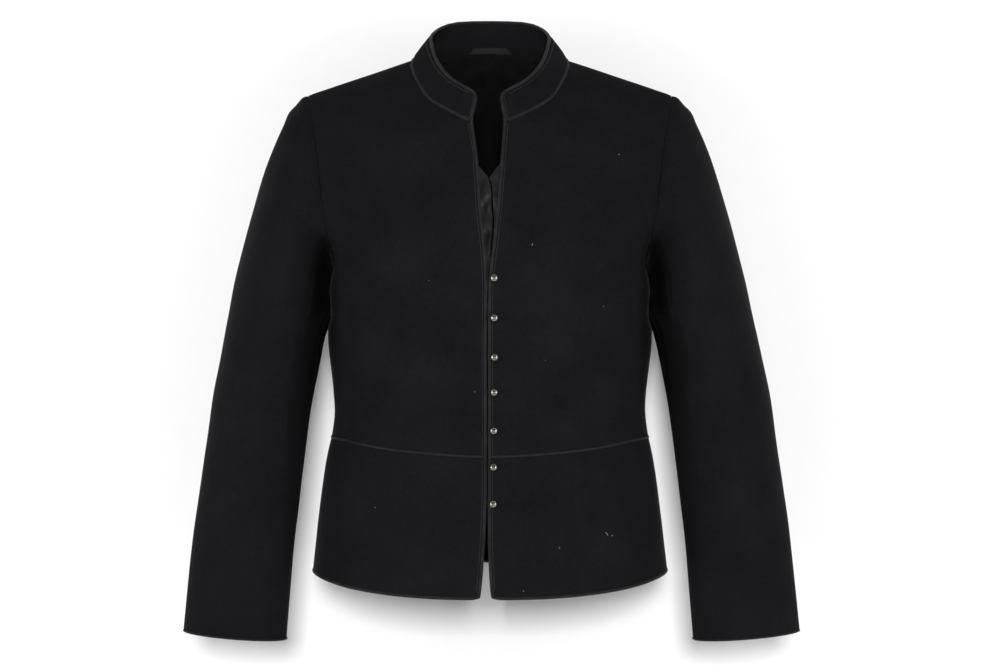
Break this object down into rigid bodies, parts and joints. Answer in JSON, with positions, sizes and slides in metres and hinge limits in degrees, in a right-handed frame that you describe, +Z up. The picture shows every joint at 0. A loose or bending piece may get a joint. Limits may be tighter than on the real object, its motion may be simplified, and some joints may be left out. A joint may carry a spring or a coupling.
{
  "type": "stand-collar military jacket, worn shape without a wearer",
  "caption": "Fitted short jacket with stand collar, ball buttons, piped seams, two-piece sleeves and a flared skirt, in its worn shape.",
  "frame": {"origin": "in the mid-plane, level with the points where the shoulder seams meet the collar, midway between them, where a wearer's shoulders hold the jacket up", "axes": "+X to the wearer's left, +Y to the wearer's back, +Z up"},
  "size_m": [0.654, 0.2553, 0.6705],
  "materials": {
    "cloth": "matt fulled wool, black",
    "piping": "black cord piping, slightly lighter than the cloth",
    "satin": "dark grey satin with a soft sheen",
    "lining": "black smooth lining",
    "button_metal": "antique silver, darkened in its recesses"
  },
  "bodies": {
    "root": {"center_front_left": "cloth", "center_front_right": "cloth", "side_front_left": "cloth", "side_front_right": "cloth", "back_left": "cloth", "back_right": "cloth", "skirt_front_left": "cloth", "skirt_front_right": "cloth", "skirt_side_left": "cloth", "skirt_side_right": "cloth", "skirt_back": "cloth", "collar": "cloth", "upper_sleeve_left": "cloth", "upper_sleeve_right": "cloth", "under_sleeve_left": "cloth", "under_sleeve_right": "cloth", "edge_piping": "piping", "collar_seam_piping": "piping", "waist_piping": "piping", "back_lining": "lining", "underlap_left": "satin", "underlap_right": "satin", "hanger_loop": "satin", "button_1": "button_metal", "button_2": "button_metal", "button_3": "button_metal", "button_4": "button_metal", "button_5": "button_metal", "button_6": "button_metal", "button_7": "button_metal"}
  },
  "joints": []
}
